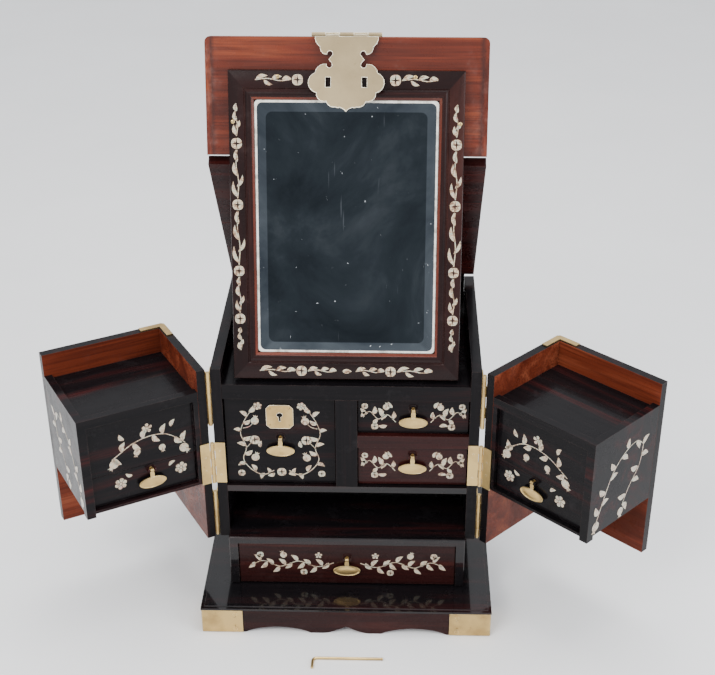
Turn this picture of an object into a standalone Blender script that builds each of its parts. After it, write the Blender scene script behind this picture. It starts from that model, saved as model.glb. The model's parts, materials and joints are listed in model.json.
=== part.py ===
"""Inlaid hardwood jewelry armoire: a fold-out vanity box with drawers, wings and a lid mirror.

Frame: metres, +Z up, +X to the right, +Y to the back. The origin is on the floor, on the
centre plane, straight below the line that joins the two wings' hinge pins. The box stands
open: wings swung out, lid folded up behind the mirror, mirror leaning back on the top board.
"""
import math

import bmesh
import bpy
from mathutils import Matrix, Vector

# ---- Driving dimensions (metres) -------------------------------------------------------
GAP = 0.0003                # clearance between pieces that touch

BASE_W = 0.345
BASE_Y = (-0.065, 0.259)
BASE_H = 0.037              # top of the raised panel
SLAB_T = 0.0035
LIP_W, LIP_STEP = 0.0055, 0.001
APRON_T = 0.012
APRON_INSET = 0.002
APRON_ARCH_H = 0.0085

PEDESTAL_Y = (-0.017, 0.232)
PEDESTAL_TOP = 0.106
PEDESTAL_BAY_W = 0.260

BODY_W = 0.305              # carcass width over its side walls
BODY_D = 0.254              # carcass depth
WALL_T = 0.0117
FRONT_Y = 0.0016            # front plane of the carcass, just behind the hinge pins
WALL_Z = (0.095, 0.325)
BACK_T = 0.0076
TIER_Z = (0.160, 0.168)
TOP_Z = (0.297, 0.305)
TOP_RAIL_Z = 0.2863
MID_RAIL_Z = (0.223, 0.239)
BOARD_T = 0.008
MEMBER_D = 0.012            # front frame members, front to back
STILE_W = 0.025

DRAWER_RECESS = 0.006       # fronts sit behind the frame, so that the closed wings clear the pulls
DRAWER_FRONT_T = 0.010
DRAWER_WALL = 0.0048
DRAWER_FLOOR = 0.004
DRAWER_DEPTH = 0.228
REVEAL = 0.0006

PULL_REACH = 0.0045         # from a drawer front to its pull's pin
PULL_DROP = 0.016           # from the pin to the middle of the plate

PIN_X = 0.1552              # wing hinge pins, from the centre plane
BARREL_R = 0.0024
LEAF_T = 0.0011
WING_OPEN = {"left": 150.8, "right": 136.6}
WING_DEPTH = 0.128          # closed, from the hinge pins to the outer front face
WING_OUT = 0.0027           # the wing's outer side face, inward of the pin
WING_END = 0.1548           # the wing's free edge, inward of the pin
SHELL_T = 0.010
CABINET_Z = (0.174, 0.298)
TRAY_Z = 0.294
TRAY_RIM_W = 0.009
PANEL_TOP = 0.287
BAY_TOP = 0.218
POST_W = 0.0105
WING_DRAWER_DEPTH = 0.100

LID_W = 0.303
LID_Z = (0.327, 0.338)      # closed
LID_FRONT = 0.133           # closed lid's front edge, ahead of the hinge pins
LID_FOLD = -0.008           # fold line between the two boards, closed
LID_REAR = 0.246            # rear hinge line
LID_PIN_Z = 0.3404
LID_BARREL_R = 0.0021
LID_LEAF_W = 0.210
MIRROR_W = 0.2524
MIRROR_Y = (-0.099, 0.240)  # closed
MIRROR_T = 0.011
MIRROR_LEAN = 14.6          # open, degrees back from vertical
MIRROR_FOOT_Z = 0.3073      # open, height of the mirror's lower back edge

HASP_PIN = Vector((0, -0.1356, 0.3256))
HASP_HALF_W = 0.0375
HASP_T = 0.0014
HASP_REST = 70.5            # degrees swung in from square to the lid, resting on the mirror
SLOT_X, SLOT_DROP = 0.0192, 0.0514
SLOT_SIZE = (0.0058, 0.0112)
STAPLE_R = 0.0012
STAPLE_HALF = 0.0036
STAPLE_REACH = 0.018

LOCK_PIN_R = 0.0017
LOCK_PIN_X = (-0.037, 0.045)
LOCK_PIN_Y = -0.110
LOCK_PIN_LEG = 0.017

# ---- Places that follow from them ------------------------------------------------------
INNER_X = BODY_W / 2 - WALL_T - GAP
BACK_Y = BODY_D - BACK_T
DRAWER_Y = FRONT_Y + DRAWER_RECESS
APRON_TOP = BASE_H - SLAB_T - GAP
MIRROR_BACK = LID_Z[0] - GAP
FOOT_CLOSED = Vector((0, MIRROR_Y[1], MIRROR_BACK))
FOLD_CLOSED = Vector((0, LID_FOLD, LID_PIN_Z))
REAR_PIN = Vector((0, LID_REAR, LID_PIN_Z))

# Open, the mirror stands on its foot and carries the fold hinge; the rear board spans from
# there to the rear hinge, which sets how far forward the foot stands.
MIRROR_TURN = math.radians(90 + MIRROR_LEAN)
FOOT_TO_FOLD = Matrix.Rotation(-MIRROR_TURN, 3, "X") @ (FOLD_CLOSED - FOOT_CLOSED)
FOLD_Z = MIRROR_FOOT_Z + FOOT_TO_FOLD.z
REAR_SPAN = LID_REAR - LID_FOLD
REAR_TURN = math.asin((FOLD_Z - LID_PIN_Z) / REAR_SPAN)
FOLD = Vector((0, LID_REAR - REAR_SPAN * math.cos(REAR_TURN), FOLD_Z))
FOOT = FOLD - FOOT_TO_FOLD

FINISHES = {
    "black_lacquer": ((0.022, 0.021, 0.026), 0.22, 0.0),
    "maroon_wood": ((0.075, 0.020, 0.018), 0.25, 0.0),
    "red_wood": ((0.260, 0.060, 0.025), 0.30, 0.0),
    "brass": ((0.780, 0.640, 0.380), 0.30, 1.0),
    "antique_brass": ((0.500, 0.420, 0.270), 0.38, 1.0),
    "mirror": ((0.800, 0.820, 0.840), 0.03, 1.0),
}

for old in list(bpy.data.objects):
    bpy.data.objects.remove(old)
PARTS = bpy.data.collections.new("jewelry_armoire")
CUTTERS = bpy.data.collections.new("cutters")
bpy.context.scene.collection.children.link(PARTS)
bpy.context.scene.collection.children.link(CUTTERS)


# ---- Objects and modifiers -------------------------------------------------------------
def make_material(name, finish):
    colour, roughness, metallic = FINISHES[finish]
    material = bpy.data.materials.new(f"{name}_{finish}")
    material.use_nodes = True
    shader = material.node_tree.nodes["Principled BSDF"]
    shader.inputs["Base Color"].default_value = (*colour, 1)
    shader.inputs["Roughness"].default_value = roughness
    shader.inputs["Metallic"].default_value = metallic
    return material


def add_object(name, bm, finish=None, parent=None, at=(0, 0, 0)):
    """A part from a bmesh, or a cutter when it has no finish."""
    bmesh.ops.recalc_face_normals(bm, faces=bm.faces)
    mesh = bpy.data.meshes.new(name)
    bm.to_mesh(mesh)
    bm.free()
    obj = bpy.data.objects.new(name, mesh)
    obj.parent = parent
    obj.location = at
    if finish:
        mesh.materials.append(make_material(name, finish))
        mesh.shade_smooth()
        mesh.set_sharp_from_angle(angle=math.radians(35))
        PARTS.objects.link(obj)
    else:
        obj.hide_render = True
        obj.display_type = "WIRE"
        CUTTERS.objects.link(obj)
    return obj


def add_axis(name, at, turn=(0, 0, 0), parent=None):
    """An empty on a joint's axis, turned to where the open box has it."""
    empty = bpy.data.objects.new(name, None)
    empty.parent = parent
    empty.location = at
    empty.rotation_euler = turn
    PARTS.objects.link(empty)
    return empty


def combine(obj, bm, operation):
    helper = add_object(f"{obj.name}_{operation.lower()}", bm, parent=obj.parent, at=obj.location)
    boolean = obj.modifiers.new(operation.lower(), "BOOLEAN")
    boolean.operation = operation
    boolean.solver = "EXACT"
    boolean.object = helper


def cut(obj, bm):
    combine(obj, bm, "DIFFERENCE")


def join(obj, bm):
    combine(obj, bm, "UNION")


def soften(obj, width):
    """A narrow bevel on every sharp edge of a plain board."""
    bevel = obj.modifiers.new("soft_edges", "BEVEL")
    bevel.width = width
    bevel.segments = 1
    bevel.limit_method = "ANGLE"


# ---- Shapes ----------------------------------------------------------------------------
def box(*sizes):
    """One or more boxes, each between two limits along X, Y and Z."""
    bm = bmesh.new()
    for limits in sizes:
        low = Vector(min(pair) for pair in limits)
        high = Vector(max(pair) for pair in limits)
        place = Matrix.Translation((low + high) / 2) @ Matrix.Diagonal((*(high - low), 1))
        bmesh.ops.create_cube(bm, size=1, matrix=place)
    return bm


def rod(centre, axis, radius, length, sides=14):
    """A round bar centred on a point, along X, Y or Z."""
    turn = {
        "X": Matrix.Rotation(math.radians(90), 4, "Y"),
        "Y": Matrix.Rotation(math.radians(90), 4, "X"),
        "Z": Matrix.Identity(4),
    }[axis]
    bm = bmesh.new()
    bmesh.ops.create_cone(bm, cap_ends=True, segments=sides, radius1=radius, radius2=radius,
                          depth=length, matrix=Matrix.Translation(centre) @ turn)
    return bm


def prism(outline, axis, limits):
    """A flat outline on the plane square to an axis, drawn out along it."""
    low, high = min(limits), max(limits)
    place = {
        "X": lambda a, b: (low, a, b),
        "Y": lambda a, b: (a, low, b),
        "Z": lambda a, b: (a, b, low),
    }[axis]
    bm = bmesh.new()
    face = bm.faces.new([bm.verts.new(place(a, b)) for a, b in outline])
    drawn = bmesh.ops.extrude_face_region(bm, geom=[face])
    moved = [item for item in drawn["geom"] if isinstance(item, bmesh.types.BMVert)]
    step = Vector((axis == "X", axis == "Y", axis == "Z")) * (high - low)
    bmesh.ops.translate(bm, verts=moved, vec=step)
    return bm


def bowed(start, stop, bow, steps=6):
    """Points on an arc from start up to stop, bowed to the left of the way by that height."""
    if not bow:
        return [start]
    begin, end = Vector(start), Vector(stop)
    chord = end - begin
    left = Vector((-chord.y, chord.x)).normalized()
    radius = (chord.length ** 2 / 4 + bow ** 2) / (2 * bow)
    centre = (begin + end) / 2 + left * (bow - radius)
    sweep = 4 * math.atan(2 * bow / chord.length)
    spoke = begin - centre
    turns = [Matrix.Rotation(-sweep * i / steps, 2) for i in range(steps)]
    return [tuple(centre + turn @ spoke) for turn in turns]


def mirrored(outline):
    """An outline's points, then the same points across the centre line."""
    return outline + [(-x, y) for x, y in reversed(outline) if abs(x) > 1e-9]


def round_upright(bm, x, y, radius):
    """Round the upright edge that stands nearest to a point seen from above."""
    corner = Vector((x, y))
    uprights = [e for e in bm.edges if (e.verts[0].co.xy - e.verts[1].co.xy).length < 1e-6]
    edge = min(uprights, key=lambda e: (e.verts[0].co.xy - corner).length)
    bmesh.ops.bevel(bm, geom=[edge], offset=radius, segments=4, profile=0.5, affect="EDGES")
    return bm


def shifted(bm, origin):
    """Move a shape so that the given point becomes its origin."""
    bmesh.ops.translate(bm, verts=bm.verts, vec=-Vector(origin))
    return bm


def knuckles(start, stop, count, own):
    """The stretches of a hinge barrel that belong to one of its two leaves."""
    pitch = (stop - start) / count
    clear = 0.0002
    return [(start + i * pitch + clear, start + (i + 1) * pitch - clear)
            for i in range(own, count, 2)]


def wire(name, route, radius, finish, parent=None):
    """A round wire along a route, made a closed mesh."""
    curve = bpy.data.curves.new(f"{name}_route", "CURVE")
    curve.dimensions = "3D"
    curve.bevel_depth = radius
    curve.bevel_resolution = 2
    curve.use_fill_caps = True
    spline = curve.splines.new("POLY")
    spline.points.add(len(route) - 1)
    for point, place in zip(spline.points, route):
        point.co = (*place, 1)
    guide = bpy.data.objects.new(f"{name}_route", curve)
    PARTS.objects.link(guide)
    depsgraph = bpy.context.evaluated_depsgraph_get()
    mesh = bpy.data.meshes.new_from_object(guide.evaluated_get(depsgraph))
    bpy.data.objects.remove(guide)
    bm = bmesh.new()
    bm.from_mesh(mesh)
    bmesh.ops.remove_doubles(bm, verts=bm.verts, dist=0.00001)
    return add_object(name, bm, finish, parent)


# ---- Base ------------------------------------------------------------------------------
def arch(start, stop, height, steps=14):
    """A long low cut-out with round shoulders, starting below the floor line."""
    rises = [height * math.sin(math.pi * i / steps) ** 0.7 for i in range(1, steps)]
    points = [(start + (stop - start) * i / steps, rise) for i, rise in enumerate(rises, 1)]
    return [(start, -0.002), (start, 0)] + points + [(stop, 0), (stop, -0.002)]


def cusp(half_width, height, steps=7):
    """The middle cut-out: two hollow curves that meet in an upward point."""
    shares = [i / steps for i in range(1 - steps, steps)]
    points = [(half_width * share, height * (1 - abs(share)) ** 1.5) for share in shares]
    return [(-half_width, -0.002), (-half_width, 0)] + points + [(half_width, 0),
                                                                (half_width, -0.002)]


def build_base():
    half = BASE_W / 2
    bm = box(((-half, half), BASE_Y, (BASE_H - SLAB_T, BASE_H - LIP_STEP)))
    bm.faces.ensure_lookup_table()
    top = max(bm.faces, key=lambda face: face.calc_center_median().z)
    for width in (LIP_W, LIP_STEP):
        bmesh.ops.inset_region(bm, faces=[top], thickness=width)
    bmesh.ops.translate(bm, verts=top.verts, vec=(0, 0, LIP_STEP))
    add_object("base_top", bm, "black_lacquer")

    out = half - APRON_INSET
    y0, y1 = BASE_Y[0] + APRON_INSET, BASE_Y[1] - APRON_INSET
    apron = add_object("base_apron", box(((-out, out), (y0, y1), (0, APRON_TOP))), "maroon_wood")
    cut(apron, box(((APRON_T - out, out - APRON_T), (y0 + APRON_T, y1 - APRON_T),
                    (-0.001, APRON_TOP + 0.001))))
    through = (y0 - 0.001, y1 + 0.001)
    cut(apron, prism(arch(-0.120, -0.042, APRON_ARCH_H), "Y", through))
    cut(apron, prism(arch(0.042, 0.120, APRON_ARCH_H), "Y", through))
    cut(apron, prism(cusp(0.027, 0.0105), "Y", through))
    cut(apron, prism(arch(0.0, 0.194, APRON_ARCH_H), "X", (-half, half)))
    for name, side in (("cap_left", -1), ("cap_right", 1)):
        build_cap(name, side, out, y0)


def build_cap(name, side, apron_x, apron_y):
    """A brass corner cap folded round the base's front corner, with its screws."""
    thick, front_leg, side_leg = 0.0012, 0.049, 0.046
    x, y = apron_x + GAP + thick, apron_y - GAP - thick
    outline = [(x, y + 0.001), (x, y + side_leg), (x - thick, y + side_leg),
               (x - thick, y + thick), (x - front_leg, y + thick), (x - front_leg, y),
               (x - 0.001, y)]
    cap = add_object(name, prism([(side * a, b) for a, b in outline], "Z",
                                 (0.0008, APRON_TOP - GAP)), "brass")
    for z in (0.0055, 0.0275):
        join(cap, rod((side * (x - front_leg + 0.009), y, z), "Y", 0.0024, 0.0010))
        join(cap, rod((side * x, y + side_leg - 0.009, z), "X", 0.0024, 0.0010))


# ---- Carcass ---------------------------------------------------------------------------
def build_pedestal():
    top = PEDESTAL_TOP
    pedestal = add_object("pedestal", box(((-INNER_X, INNER_X), PEDESTAL_Y, (BASE_H + GAP, top))),
                          "black_lacquer")
    soften(pedestal, 0.001)
    half = PEDESTAL_BAY_W / 2
    cut(pedestal, box(((-half, half), (PEDESTAL_Y[0] - 0.001, PEDESTAL_Y[1] - 0.012),
                       (BASE_H - 0.001, top - 0.009))))


def build_carcass():
    for name, side in (("side_left", -1), ("side_right", 1)):
        bm = box(((side * BODY_W / 2, side * (INNER_X + GAP)), (FRONT_Y, BODY_D), WALL_Z))
        rear_top = [edge for edge in bm.edges
                    if all(v.co.y > BODY_D / 2 and v.co.z > TOP_Z[0] for v in edge.verts)]
        bmesh.ops.bevel(bm, geom=rear_top, offset=0.010, segments=5, profile=0.5,
                        affect="EDGES")
        add_object(name, bm, "black_lacquer")

    span = (-INNER_X, INNER_X)
    depth = (FRONT_Y, BACK_Y - GAP)
    member_y = FRONT_Y + MEMBER_D
    add_object("back_panel", box((span, (BACK_Y, BODY_D), (PEDESTAL_TOP + GAP, LID_Z[1]))),
               "black_lacquer")
    add_object("tier_floor", box((span, depth, TIER_Z)), "black_lacquer")

    profile = [(depth[0], TOP_RAIL_Z), (member_y, TOP_RAIL_Z), (member_y, TOP_Z[0]),
               (depth[1], TOP_Z[0]), (depth[1], TOP_Z[1]), (depth[0], TOP_Z[1])]
    add_object("top_board", prism(profile, "X", span), "maroon_wood")

    board_z = MID_RAIL_Z[1] - BOARD_T
    profile = [(depth[0], MID_RAIL_Z[0]), (member_y, MID_RAIL_Z[0]), (member_y, board_z),
               (depth[1], board_z), (depth[1], MID_RAIL_Z[1]), (depth[0], MID_RAIL_Z[1])]
    add_object("mid_rail", prism(profile, "X", (STILE_W / 2 + GAP, INNER_X)), "maroon_wood")

    plan = mirrored([(STILE_W / 2, depth[0]), (STILE_W / 2, member_y), (BOARD_T / 2, member_y),
                     (BOARD_T / 2, depth[1])])
    add_object("divider", prism(plan, "Z", (TIER_Z[1] + GAP, TOP_RAIL_Z - GAP)), "black_lacquer")


# ---- Drawers and pulls -----------------------------------------------------------------
def add_pull_post(drawer, x, z, front_y, out):
    """The pull's post on a drawer front: a rose, two ears and a cross pin."""
    rose_t, ear_r, pin_r = 0.001, 0.0024, 0.0008
    pin_y = front_y + out * PULL_REACH
    root_y = front_y - out * 0.001
    join(drawer, rod((x, front_y, z), "Y", 0.0058, 2 * rose_t, 18))
    outline = [(root_y, z - ear_r)]
    for i in range(9):
        turn = math.radians(22.5 * i - 90)
        outline.append((pin_y + out * ear_r * math.cos(turn), z + ear_r * math.sin(turn)))
    outline.append((root_y, z + ear_r))
    for side in (-1, 1):
        join(drawer, prism(outline, "X", (x + side * 0.0031, x + side * 0.0048)))
    join(drawer, rod((x, pin_y, z), "X", pin_r, 0.0090, 8))


def build_pull(name, x, z, front_y, out, parent):
    """A drop pull: a small barrel on the pin, a neck, and an oval plate that hangs from it."""
    half_w, half_h, half_t = 0.0165, 0.0072, 0.0010
    shoulder = [(0.0016, 0), (0.0016, -0.0048), (0.0046, -0.0066), (0.0058, -0.0092)]
    turns = [math.radians(65 - 155 * i / 12) for i in range(13)]
    oval = [(half_w * math.cos(t), half_h * math.sin(t) - PULL_DROP) for t in turns]
    oval[-1] = (0, -PULL_DROP - half_h)
    pull = add_object(name, prism(mirrored(shoulder + oval), "Y", (-half_t, half_t)), "brass",
                      parent, (x, front_y + out * PULL_REACH, z))
    join(pull, rod((0, 0, 0), "X", 0.0021, 0.0054))
    cut(pull, rod((0, 0, 0), "X", 0.0012, 0.0080, 12))


def build_drawer(name, x, z, front_y, side_h, pull_at, out=-1, depth=DRAWER_DEPTH, parent=None):
    """An open box behind a thicker front that faces -Y, or +Y when out is 1."""
    back = -out
    front = (front_y, front_y + back * DRAWER_FRONT_T)
    drawer = add_object(name, box((x, front, z)), "maroon_wood", parent)
    soften(drawer, 0.0006)
    inset, bite = 0.0012, 0.0005
    low, high = min(x) + inset, max(x) - inset
    floor_z = z[0] + 0.0008
    end_y = front_y + back * depth
    join(drawer, box(((low, high), (front[1] - back * bite, end_y),
                      (floor_z, floor_z + side_h))))
    cut(drawer, box(((low + DRAWER_WALL, high - DRAWER_WALL),
                     (front[1] - back * 2 * bite, end_y - back * DRAWER_WALL),
                     (floor_z + DRAWER_FLOOR, z[1] - 0.002))))
    add_pull_post(drawer, *pull_at, front_y, out)
    build_pull(f"{name}_pull", *pull_at, front_y, out, parent)


def build_carcass_drawers():
    side = INNER_X - REVEAL
    stile = STILE_W / 2 + REVEAL
    low, high = TIER_Z[1] + 0.0008, TOP_RAIL_Z - 0.0007
    build_drawer("drawer_tall", (-side, -stile), (low, high), DRAWER_Y, 0.093, (-0.0765, 0.2320))
    build_drawer("drawer_upper", (stile, side), (MID_RAIL_Z[1] + REVEAL, high), DRAWER_Y,
                 0.036, (0.0765, 0.2725))
    build_drawer("drawer_lower", (stile, side), (low, MID_RAIL_Z[0] - REVEAL), DRAWER_Y,
                 0.043, (0.0765, 0.2095))
    half = PEDESTAL_BAY_W / 2 - 0.0007
    build_drawer("drawer_base", (-half, half), (BASE_H + 0.001, PEDESTAL_TOP - 0.0097),
                 PEDESTAL_Y[0] + 0.002, 0.047, (0, 0.0765))


def build_escutcheon():
    """The lock plate on the tall drawer: clipped corners and a keyhole."""
    x, z, half, clip = -0.0765, 0.2605, 0.0155, 0.0045
    corner = [(half - clip, half), (half, half - clip), (half, clip - half),
              (half - clip, -half)]
    outline = [(x + a, z + b) for a, b in mirrored(corner)]
    back = DRAWER_Y - GAP
    plate = add_object("escutcheon", prism(outline, "Y", (back - 0.0012, back)), "brass")
    keyhole = [(0.0012, -0.0060)] + bowed((0.0012, -0.0005), (0, 0.0052), -0.0030)
    keyhole = [(x + a, z + b) for a, b in mirrored(keyhole + [(0, 0.0052)])]
    cut(plate, prism(keyhole, "Y", (back - 0.003, back + 0.001)))


# ---- Wings -----------------------------------------------------------------------------
def inward(side, *distances):
    """Distances inward of a wing's pin, as X limits about that pin."""
    return tuple(sorted(-side * distance for distance in distances))


def build_leaf(name, side, plate, tab, z, own, parent):
    """Half a wing hinge: a plate, joined by tabs to its own stretches of the barrel."""
    leaf = add_object(name, box((inward(side, *plate[0]), plate[1], z)), "brass", parent)
    for low, high in knuckles(*z, 5, own):
        join(leaf, rod((0, 0, (low + high) / 2), "Z", BARREL_R, high - low))
        join(leaf, box((inward(side, *tab[0]), tab[1], (low + 0.0001, high - 0.0001))))


def build_wing_hinges(word, side, fixed, moving):
    """Two narrow hinges on the outer faces, and one wide one between the meeting faces."""
    near, bite = 0.0030, 0.0035
    across = (WING_OUT - GAP - LEAF_T, WING_OUT - GAP)
    for place, z in (("top", (0.252, 0.322)), ("foot", (0.099, 0.161))):
        for own, (half, parent) in enumerate((("fixed", fixed), ("moving", moving))):
            way = 1 if half == "fixed" else -1
            plate = (across, (way * near, way * 0.013))
            tab = (across, (0, way * bite))
            build_leaf(f"hinge_{place}_{word}_{half}", side, plate, tab, z, own, parent)
    thick = (FRONT_Y - GAP - LEAF_T, FRONT_Y - GAP)
    for own, (half, parent) in enumerate((("fixed", fixed), ("moving", moving))):
        way = 1 if half == "fixed" else -1
        y = (way * thick[0], way * thick[1])
        build_leaf(f"hinge_mid_{word}_{half}", side, ((near, 0.0146), y), ((0, bite), y),
                   (0.173, 0.228), own, parent)


def build_wing(word, side):
    """One wing, modelled closed about its pin, under an empty that holds it open."""
    at = (side * PIN_X, 0, 0)
    fixed = add_axis(f"wing_{word}_pin", at)
    wing = add_axis(f"wing_{word}_axis", at, (0, 0, side * math.radians(WING_OPEN[word])))
    build_wing_hinges(word, side, fixed, wing)

    shell_y = SHELL_T - WING_DEPTH
    add_object(f"wing_{word}_side", box((inward(side, WING_OUT, WING_OUT + SHELL_T),
                                         (shell_y + GAP, -FRONT_Y), WALL_Z)), "red_wood", wing)
    bm = box((inward(side, WING_OUT, WING_END), (-WING_DEPTH, shell_y), WALL_Z))
    round_upright(bm, -side * WING_OUT, -WING_DEPTH, 0.005)
    front = add_object(f"wing_{word}_front", bm, "red_wood", wing)
    if word == "right":
        stud_z = 0.161
        join(front, rod((-side * 0.1495, -WING_DEPTH - 0.0015, stud_z), "Y", 0.003, 0.005))

    build_cabinet(word, side, wing, shell_y + GAP)
    build_bracket(word, side, wing)
    build_staple(word, side, wing)


def build_cabinet(word, side, wing, back_y):
    """The block inside a wing: tray on top, framed face, drawer bay and corner post."""
    x0 = WING_OUT + SHELL_T + GAP
    stile_x, post_x = x0 + 0.0055, WING_END - POST_W
    face_y, panel_y, panel_t, back_t = -0.002, -0.008, 0.008, 0.006
    low, high = CABINET_Z
    bay_z = low + 0.0033
    cabinet = add_object(f"wing_{word}_cabinet",
                         box((inward(side, x0, WING_END), (back_y, face_y), CABINET_Z)),
                         "black_lacquer", wing)
    join(cabinet, box((inward(side, post_x, WING_END), (-0.013, face_y),
                       (low - 0.005, low + 0.002))))
    cut(cabinet, box((inward(side, x0 - 0.001, WING_END - TRAY_RIM_W),
                      (back_y - 0.001, face_y - TRAY_RIM_W), (TRAY_Z, high + 0.001))))
    bay = inward(side, stile_x, post_x)
    cut(cabinet, box((bay, (panel_y, 0.001), (bay_z, PANEL_TOP))))
    cut(cabinet, box((bay, (back_y + back_t, panel_y + 0.001), (bay_z, BAY_TOP))))
    cut(cabinet, box((inward(side, stile_x + 0.002, post_x - 0.002),
                      (back_y + back_t + 0.001, panel_y - panel_t), (bay_z + 0.02, PANEL_TOP))))
    build_drawer(f"wing_{word}_drawer", inward(side, stile_x + REVEAL, post_x - REVEAL),
                 (bay_z + REVEAL, BAY_TOP - REVEAL), panel_y, 0.030, (-side * 0.0735, 0.2110),
                 1, WING_DRAWER_DEPTH, wing)


def build_bracket(word, side, wing):
    """A brass corner bracket let on to the wing's top edge."""
    x, y, width, leg, clip = WING_OUT + 0.001, 0.001 - WING_DEPTH, 0.0075, 0.031, 0.003
    outline = [(x + clip, y), (x + leg, y), (x + leg, y + width), (x + width, y + width),
               (x + width, y + leg), (x, y + leg), (x, y + clip)]
    seat = WALL_Z[1] + GAP
    add_object(f"wing_{word}_bracket", prism([(-side * a, b) for a, b in outline], "Z",
                                             (seat, seat + 0.0012)), "brass", wing)


def build_staple(word, side, wing):
    """A wire staple standing out of the wing's front, for the hasp and its pin."""
    x, z = -side * (PIN_X - SLOT_X), HASP_PIN.z - SLOT_DROP
    near, far, bend = -WING_DEPTH - GAP, -WING_DEPTH - STAPLE_REACH, 0.0020
    low, high = z - STAPLE_HALF, z + STAPLE_HALF
    route = [(near, low)] + bowed((far + bend, low), (far, low + bend), -0.293 * bend, 3)
    route += [(far, low + bend)] + bowed((far, high - bend), (far + bend, high),
                                         -0.293 * bend, 3)
    route += [(far + bend, high), (near, high)]
    wire(f"wing_{word}_staple", [(x, y, h) for y, h in route], STAPLE_R, "brass", wing)


# ---- Lid, mirror and hasp --------------------------------------------------------------
def build_lid_leaf(name, plate_y, pin, own, origin, parent):
    """Half a long lid hinge: a plate on the closed lid's top face, and its knuckles."""
    half = LID_LEAF_W / 2
    z = (LID_Z[1] + GAP, LID_Z[1] + GAP + 0.001)
    near = min(plate_y, key=lambda y: abs(y - pin.y))
    bite = math.copysign(0.0005, near - pin.y)
    leaf = add_object(name, shifted(box(((-half, half), plate_y, z)), origin), "antique_brass",
                      parent)
    for low, high in knuckles(-half, half, 7, own):
        join(leaf, shifted(rod(((low + high) / 2, pin.y, pin.z), "X", LID_BARREL_R,
                               high - low), origin))
        join(leaf, shifted(box(((low + 0.0001, high - 0.0001), (pin.y, near + bite), z)),
                           origin))


def build_lid():
    """The lid folded up behind the mirror; every piece is modelled closed, about its pin."""
    half = LID_W / 2
    reach, clear = 0.0165, 0.0025
    front = add_axis("mirror_tilt_axis", FOOT, (-MIRROR_TURN, 0, 0))
    bm = box(((-half, half), (-LID_FRONT, LID_FOLD - GAP), LID_Z))
    for side in (-1, 1):
        round_upright(bm, side * half, -LID_FRONT, 0.006)
    add_object("lid_front", shifted(bm, FOOT_CLOSED), "red_wood", front)
    build_lid_leaf("fold_hinge_front", (LID_FOLD - reach, LID_FOLD - clear), FOLD_CLOSED, 0,
                   FOOT_CLOSED, front)

    rear = add_axis("lid_fold_axis", FOLD, (-REAR_TURN, 0, 0))
    bm = box(((-half, half), (LID_FOLD + GAP, LID_REAR - 0.0006), LID_Z))
    add_object("lid_rear", shifted(bm, FOLD_CLOSED), "red_wood", rear)
    build_lid_leaf("fold_hinge_rear", (LID_FOLD + clear, LID_FOLD + reach), FOLD_CLOSED, 1,
                   FOLD_CLOSED, rear)
    build_lid_leaf("lid_hinge_moving", (LID_REAR - reach, LID_REAR - clear), REAR_PIN, 1,
                   FOLD_CLOSED, rear)
    fixed = add_axis("lid_hinge_pin", REAR_PIN)
    build_lid_leaf("lid_hinge_fixed", (LID_REAR + clear, BODY_D - 0.0004), REAR_PIN, 0,
                   REAR_PIN, fixed)

    build_mirror(front)
    build_hasp(front)
    strip_y = FOOT.y + 0.0008
    add_object("foot_strip", box(((-0.060, 0.060), (strip_y, strip_y + 0.005),
                                  (TOP_Z[1] + GAP, TOP_Z[1] + 0.0019))), "maroon_wood")


def build_mirror(parent):
    """The mirror's rebated frame and its glass, under the front half of the lid."""
    half = MIRROR_W / 2
    low, high = MIRROR_BACK - MIRROR_T, MIRROR_BACK
    stile, top_rail, foot_rail, rebate, lip = 0.0272, 0.031, 0.030, 0.004, 0.003
    x, y = half - stile, (MIRROR_Y[0] + top_rail, MIRROR_Y[1] - foot_rail)
    frame = add_object("mirror_frame", shifted(box(((-half, half), MIRROR_Y, (low, high))),
                                               FOOT_CLOSED), "black_lacquer", parent)
    soften(frame, 0.001)
    cut(frame, shifted(box(((-x, x), y, (low - 0.001, high + 0.001))), FOOT_CLOSED))
    cut(frame, shifted(box(((-x - rebate, x + rebate), (y[0] - rebate, y[1] + rebate),
                            (low + lip, high + 0.001))), FOOT_CLOSED))
    inset = rebate - GAP
    add_object("mirror_glass", shifted(box(((-x - inset, x + inset),
                                            (y[0] - inset, y[1] + inset),
                                            (low + lip + GAP, low + lip + 0.0043))),
                                       FOOT_CLOSED), "mirror", parent)


def hasp_outline():
    """The hasp plate: a lobed, waisted shape, given down its right side from the barrel."""
    # Each stretch starts at (sideways, height) and bows outward by the third value.
    stretches = [
        (0.0335, -0.0026, 0.0016), (0.0280, -0.0134, 0.0026), (0.0207, -0.0216, -0.0050),
        (0.0158, -0.0236, 0.0), (0.0187, -0.0272, -0.0003), (0.0154, -0.0315, -0.0045),
        (0.0211, -0.0322, 0.0032), (0.0330, -0.0415, 0.0080), (0.0313, -0.0625, 0.0038),
        (0.0208, -0.0717, 0.0024), (0.0110, -0.0777, 0.0006), (0.0068, -0.0780, -0.0007),
        (0.0, -0.0825, 0.0),
    ]
    outline = []
    for (x, z, bow), (next_x, next_z, _) in zip(stretches, stretches[1:]):
        outline += bowed((x, z), (next_x, next_z), bow, 8 if abs(bow) > 0.0044 else 5)
    return mirrored(outline + [stretches[-1][:2]])


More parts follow.
